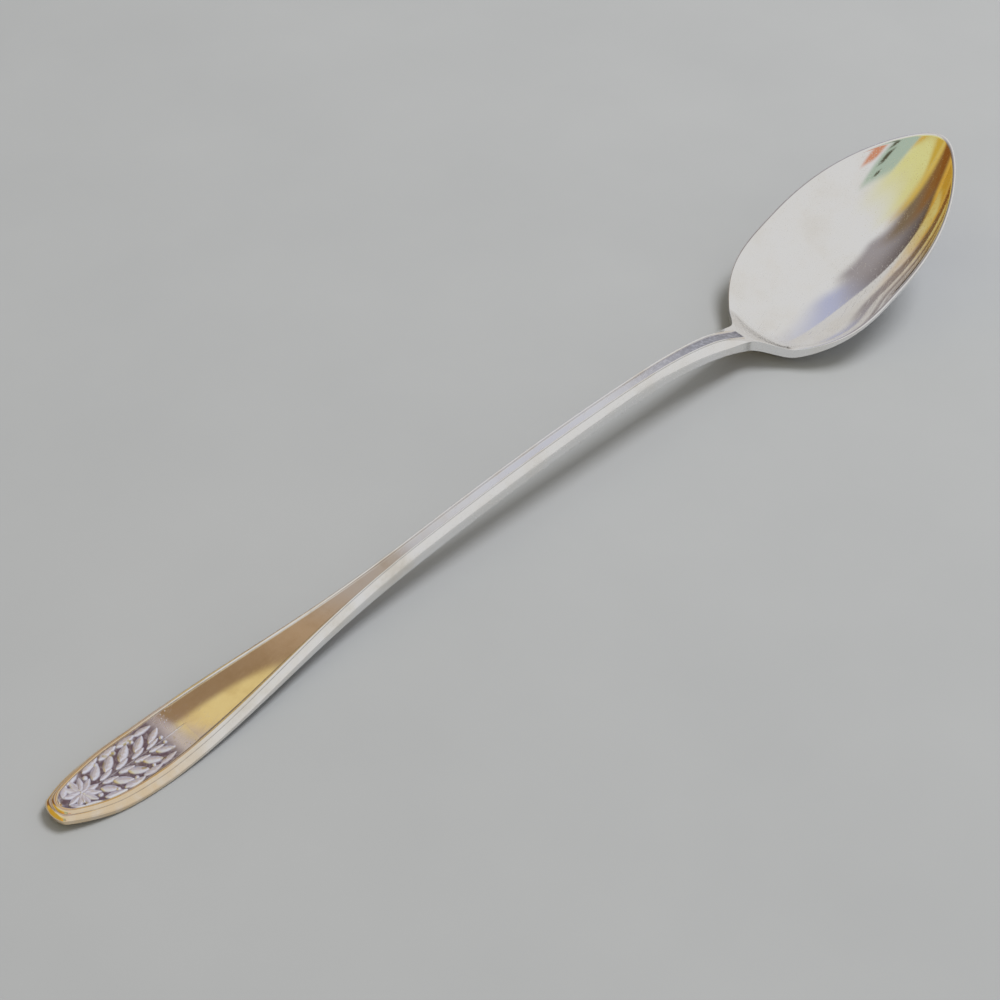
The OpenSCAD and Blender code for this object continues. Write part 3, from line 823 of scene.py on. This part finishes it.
def silver(name, warmth, tarnish, polish, hairline, spotted, shade):
    """Silver with smudges, hairline scratches, yellowed tarnish and a painted gold reflection, and darkening
    and, where struck, a cool tint, which are tarnish on the flower spray and painted shade on the spoon.
    shade is the colour of the darkening where struck is set, and spotted is how strong the olive spots are."""
    material = bpy.data.materials.new(name)
    material.use_nodes = True
    n = Nodes(material.node_tree)
    place_mm = n.millimetres()
    cloud, patch, speck = (n.noise(place_mm, *kind) for kind in (CLOUD, PATCH, SPECK))
    layers = ("tarnish_and_shade", "patina_and_reflection", "struck", "satin")
    tarnish_and_shade, yellowing_and_gold_reflection, struck, matt = (n.add("Attribute", attribute_name=k).outputs["Fac"] for k in layers)
    # Darkening: tarnish in the flower spray's hollows, painted shade in the creases beside the bead, the
    # groove near the neck and the handle end's sides
    dark = n.math("MULTIPLY", tarnish_and_shade, n.ramp(speck, *DARK_SPECKS))
    base = n.blend(n.ramp(cloud, *WARM_CLOUDS, 0.0, warmth), SILVER, WARM_SILVER)
    base = n.blend(n.math("MULTIPLY", n.ramp(cloud, *TARNISH_CLOUDS), tarnish), base, TARNISH)
    # Yellowed tarnish on the handle's end, and a painted gold reflection inside the bowl along its near rim
    base = n.blend(n.math("MULTIPLY", yellowing_and_gold_reflection, n.ramp(patch, *YELLOW_PATCHES)), base, YELLOWED_AND_REFLECTED_GOLD)
    cool = n.blend(n.ramp(patch, *OLIVE_PATCHES, 0.0, spotted), COOL_SILVER, OLIVE)
    # Where struck is set the silver turns cool: a tarnish bloom on the flower spray's ground, and
    # slate-coloured painted shade in the groove near the neck
    base = n.blend(struck, base, cool)
    base = n.blend(dark, base, n.blend(struck, DEEP_TARNISH_AND_SHADE, shade))
    first, second, third = (scratches(n, place_mm, *kind) for kind in SCRATCHES)
    hair = n.math("MAXIMUM", n.math("MAXIMUM", first, second), third)
    rough = n.ramp(cloud, *SMUDGE_CLOUDS, polish, polish + SMUDGE_ROUGH)
    dull = n.math("MAXIMUM", dark, struck)
    for amount, share in ((hair, hairline), (matt, SATIN_ROUGH), (dull, DULL_ROUGH)):
        rough = n.math("ADD", rough, n.math("MULTIPLY", amount, share))
    depth = n.math("ADD", n.math("MULTIPLY", hair, SCRATCH_DEPTH), n.math("MULTIPLY", speck, SPECK_DEPTH))
    dents = n.add("Bump", {"Strength": DENT_STRENGTH, "Distance": DENT_DISTANCE, "Height": depth})
    inputs = {"Base Color": base, "Metallic": 1.0, "Roughness": rough, "Normal": dents.outputs[0]}
    n.add("OutputMaterial", {"Surface": n.add("BsdfPrincipled", inputs).outputs[0]})
    return material


# The pale floor: its two tones, the scale per metre and detail of its mottling, and its roughness
FLOOR_DARK, FLOOR_LIGHT = rgb(0.32, 0.33, 0.345), rgb(0.36, 0.37, 0.385)
FLOOR_MOTTLE, FLOOR_ROUGH = (25.0, 4.0), 0.75


def pale_floor():
    """Plain pale material for the floor, faintly mottled."""
    material = bpy.data.materials.new("pale_floor")
    material.use_nodes = True
    n = Nodes(material.node_tree)
    mottle = n.noise(n.add("TexCoord").outputs["Object"], *FLOOR_MOTTLE)
    colour = n.blend(mottle, FLOOR_DARK, FLOOR_LIGHT)
    shader = n.add("BsdfPrincipled", {"Base Color": colour, "Roughness": FLOOR_ROUGH})
    n.add("OutputMaterial", {"Surface": shader.outputs[0]})
    return material


# Where the camera stands: its bearing from +X and height angle in degrees, and its distance and the point
# that it looks at in millimetres
BEARING, HEIGHT_ANGLE, DISTANCE = 46.9315, 45.0, 321.4396
LOOK_X, LOOK_Y = 90.7423, 7.2255
FOCAL_LENGTH, SENSOR, SHIFT_X, SHIFT_Y, CLIP_START = 72.0, 36.0, -0.0005, -0.0245, 0.01


def away(bearing, height):
    """Direction at a bearing left of the camera's own, and a height angle over the floor, in degrees."""
    a, e = math.radians(BEARING + bearing), math.radians(height)
    return np.array([math.cos(a) * math.cos(e), math.sin(a) * math.cos(e), math.sin(e)])


def look_along(obj, direction):
    """Turns an object so that its own -Z points in a direction."""
    obj.rotation_euler = Vector(direction).to_track_quat("-Z", "Y").to_euler()


def add_camera():
    data = bpy.data.cameras.new("camera")
    data.lens, data.sensor_width = FOCAL_LENGTH, SENSOR
    data.shift_x, data.shift_y = SHIFT_X, SHIFT_Y
    data.clip_start = CLIP_START
    camera = bpy.data.objects.new("camera", data)
    forward = away(0, -HEIGHT_ANGLE)
    camera.location = place(np.array([LOOK_X, LOOK_Y, 0]) - DISTANCE * forward)
    look_along(camera, forward)
    bpy.context.scene.collection.objects.link(camera)
    bpy.context.scene.camera = camera


# The floor's size in metres, and how far it lies under the spoon, so that they share no plane
FLOOR_SIZE, FLOOR_DROP = 3.0, 0.00002


def add_floor():
    mesh = bpy.data.meshes.new("floor")
    s, z = FLOOR_SIZE / 2, -FLOOR_DROP
    mesh.from_pydata([(-s, -s, z), (s, -s, z), (s, s, z), (-s, s, z)], [], [(0, 1, 2, 3)])
    mesh.materials.append(pale_floor())
    floor = bpy.data.objects.new("floor", mesh)
    bpy.context.scene.collection.objects.link(floor)


WHITE_WALL, STRAW_WALL, TEAL_WALL = rgb(0.69, 0.69, 0.685), rgb(0.67, 0.65, 0.29), rgb(0.4, 0.49, 0.4)
LAVENDER_WALL, GREY_WALL, DUSK_WALL = rgb(0.44, 0.46, 0.6), rgb(0.33, 0.305, 0.315), rgb(0.12, 0.095, 0.085)
TAUPE_WALL, BROWN_WALL = rgb(0.2, 0.145, 0.09), rgb(0.24, 0.11, 0.03)
GOLD_WALL, AMBER_WALL = rgb(0.64, 0.45, 0.1), rgb(0.56, 0.38, 0.06)
ORANGE_WALL, PINK_WALL, OLIVE_WALL = rgb(0.72, 0.4, 0.08), rgb(0.6, 0.27, 0.16), rgb(0.1, 0.1, 0.065)

# Sides of the room: bearings and heights, in degrees, at which each begins, is full, fades and ends
ROOM = [
    (LAVENDER_WALL, (-9, 9, 58, 80), (-91, -90, 42, 58)),
    (GREY_WALL, (9, 30, 60, 76), (-91, -90, 57, 68)),
    (DUSK_WALL, (6, 42, 64, 74), (-91, -90, 14, 50)),
    (TAUPE_WALL, (48, 62, 80, 92), (-91, -90, 38, 58)),
    (BROWN_WALL, (52, 62, 80, 92), (-91, -90, 20, 38)),
    (GOLD_WALL, (71, 81, 90, 112), (-91, -90, 38, 60)),
    (STRAW_WALL, (78, 94, 140, 180), (-91, -90, 42, 70)),
    (AMBER_WALL, (80, 90, 146, 158), (-91, -90, 34, 39)),
    (GOLD_WALL, (24, 32, 52, 60), (-91, -90, 9, 17)),
    (TEAL_WALL, (148, 156, 178, 184), (12, 22, 42, 50)),
    (ORANGE_WALL, (136, 142, 149, 155), (6, 12, 28, 38)),
    (OLIVE_WALL, (172, 174, 176, 178.5), (25, 28, 33, 36)),
    (OLIVE_WALL, (174, 176, 178, 180), (12, 16, 22, 25)),
    (OLIVE_WALL, (168.5, 170, 172, 174), (39, 40.5, 42, 44)),
    (PINK_WALL, (182, 186, 190, 194), (10, 15, 23, 29)),
]


def add_room():
    """A white room with a duller, warmer side away from the camera."""
    world = bpy.data.worlds.new("room")
    world.use_nodes = True
    n = Nodes(world.node_tree)
    turn = (0, 0, -math.radians(BEARING))
    ray = n.add("Mapping", {"Vector": n.add("TexCoord").outputs["Generated"], "Rotation": turn}).outputs[0]
    xyz = n.add("SeparateXYZ", {0: ray}).outputs
    bearing = n.math("DEGREES", n.math("ARCTAN2", xyz[1], xyz[0]))
    bearing = n.math("ADD", bearing, n.math("MULTIPLY", n.math("LESS_THAN", bearing, -90.0), 360.0))
    height = n.math("DEGREES", n.math("ARCSINE", xyz[2]))

    def within(value, begins, full, fades, ends):
        return n.math("MULTIPLY", n.ramp(value, begins, full), n.ramp(value, fades, ends, 1.0, 0.0))

    colour = WHITE_WALL
    for wall, across, upward in ROOM:
        colour = n.blend(n.math("MULTIPLY", within(bearing, *across), within(height, *upward)), colour, wall)
    background = n.add("Background", {"Color": colour, "Strength": 1.0})
    n.add("OutputWorld", {"Surface": background.outputs[0]})
    bpy.context.scene.world = world


# The card beside the handle: where it stands from a point of the handle, in degrees and millimetres,
# its half size, and the places across and up it, from its middle, where its colours change
CARD_X, CARD_BEARING, CARD_HEIGHT, CARD_DISTANCE = 30.0, 30.0, 56.0, 60.0
CARD_HALF_W, CARD_HALF_H = 42.0, 48.0
CARD_GOLD, CARD_BROWN = rgb(0.72, 0.56, 0.25), rgb(0.3, 0.195, 0.105)
CARD_TAN, CARD_MIST, CARD_STRAW = rgb(0.42, 0.29, 0.175), rgb(0.42, 0.36, 0.31), rgb(0.66, 0.55, 0.35)
CARD_COOL, COOL_EDGE = rgb(0.5, 0.46, 0.5), (-9.5, -6.5)
TAN_EDGE, MIST_EDGE, STRAW_EDGE = (2.0, 16.0), (14.0, 30.0), (20.0, 28.0)
CARD_RIGHT_EDGE, CARD_LOW_EDGE = (34.0, 42.0), (-30.0, -20.0)
GOLD_MIDDLE, GOLD_HALF, GOLD_EDGE = (-8.0, -14.0), (15.0, 21.0), (0.8, 1.1)


def add_card():
    """A warm card beside the handle: a gold corner on brown that pales to one side."""
    material = bpy.data.materials.new("warm_card")
    material.use_nodes = True
    n = Nodes(material.node_tree)
    across, up = n.add("SeparateXYZ", {0: n.millimetres()}).outputs[:2]
    colour = n.blend(n.ramp(across, *TAN_EDGE), CARD_BROWN, CARD_TAN)
    colour = n.blend(n.ramp(across, *MIST_EDGE), colour, CARD_MIST)
    colour = n.blend(n.ramp(up, *STRAW_EDGE), colour, CARD_STRAW)
    squares = []
    for value, middle, half in zip((across, up), GOLD_MIDDLE, GOLD_HALF):
        share = n.math("DIVIDE", n.math("SUBTRACT", value, middle), half)
        squares.append(n.math("MULTIPLY", share, share))
    far = n.math("SQRT", n.math("ADD", *squares))
    colour = n.blend(n.ramp(far, *GOLD_EDGE, 1.0, 0.0), colour, CARD_GOLD)
    colour = n.blend(n.ramp(across, *COOL_EDGE, 1.0, 0.0), colour, CARD_COOL)
    shown = n.math("MULTIPLY", n.ramp(across, *CARD_RIGHT_EDGE, 1.0, 0.0), n.ramp(up, *CARD_LOW_EDGE))
    shader = n.add("MixShader", {0: shown})
    n.set(shader.inputs[1], n.add("BsdfTransparent").outputs[0])
    n.set(shader.inputs[2], n.add("Emission", {"Color": colour, "Strength": 1.0}).outputs[0])
    n.add("OutputMaterial", {"Surface": shader.outputs[0]})
    mesh = bpy.data.meshes.new("warm_card")
    w, h = CARD_HALF_W / PER_MM, CARD_HALF_H / PER_MM
    mesh.from_pydata([(-w, -h, 0), (w, -h, 0), (w, h, 0), (-w, h, 0)], [], [(0, 1, 2, 3)])
    mesh.materials.append(material)
    card = bpy.data.objects.new("warm_card", mesh)
    direction = away(CARD_BEARING, CARD_HEIGHT)
    card.location = place(np.array([CARD_X, 0, 0]) + CARD_DISTANCE * direction)
    look_along(card, direction)
    card.visible_camera = card.visible_diffuse = card.visible_shadow = False
    bpy.context.scene.collection.objects.link(card)


def add_lamp(name, bearing, height, distance, size, power):
    """A round soft lamp that lights the spoon and isn't mirrored in it."""
    data = bpy.data.lights.new(name, "AREA")
    data.shape, data.size, data.energy = "DISK", size, power
    lamp = bpy.data.objects.new(name, data)
    direction = away(bearing, height)
    lamp.location = direction * distance
    look_along(lamp, -direction)
    lamp.visible_glossy = False
    bpy.context.scene.collection.objects.link(lamp)


bpy.context.scene.view_settings.view_transform = "Standard"
add_camera()
add_floor()
add_room()
add_card()
add_lamp("key_lamp", bearing=-60, height=62, distance=1.2, size=0.5, power=12.0)

bright_silver = silver(
    "bright_silver", warmth=0.25, tarnish=0.05, polish=0.03, hairline=0.3, spotted=0.0, shade=SLATE
)
old_silver = silver(
    "old_silver", warmth=0.6, tarnish=0.15, polish=0.05, hairline=0.1, spotted=1.0, shade=MAUVE
)
spoon_pieces(bright_silver, old_silver)
flower_spray(old_silver)
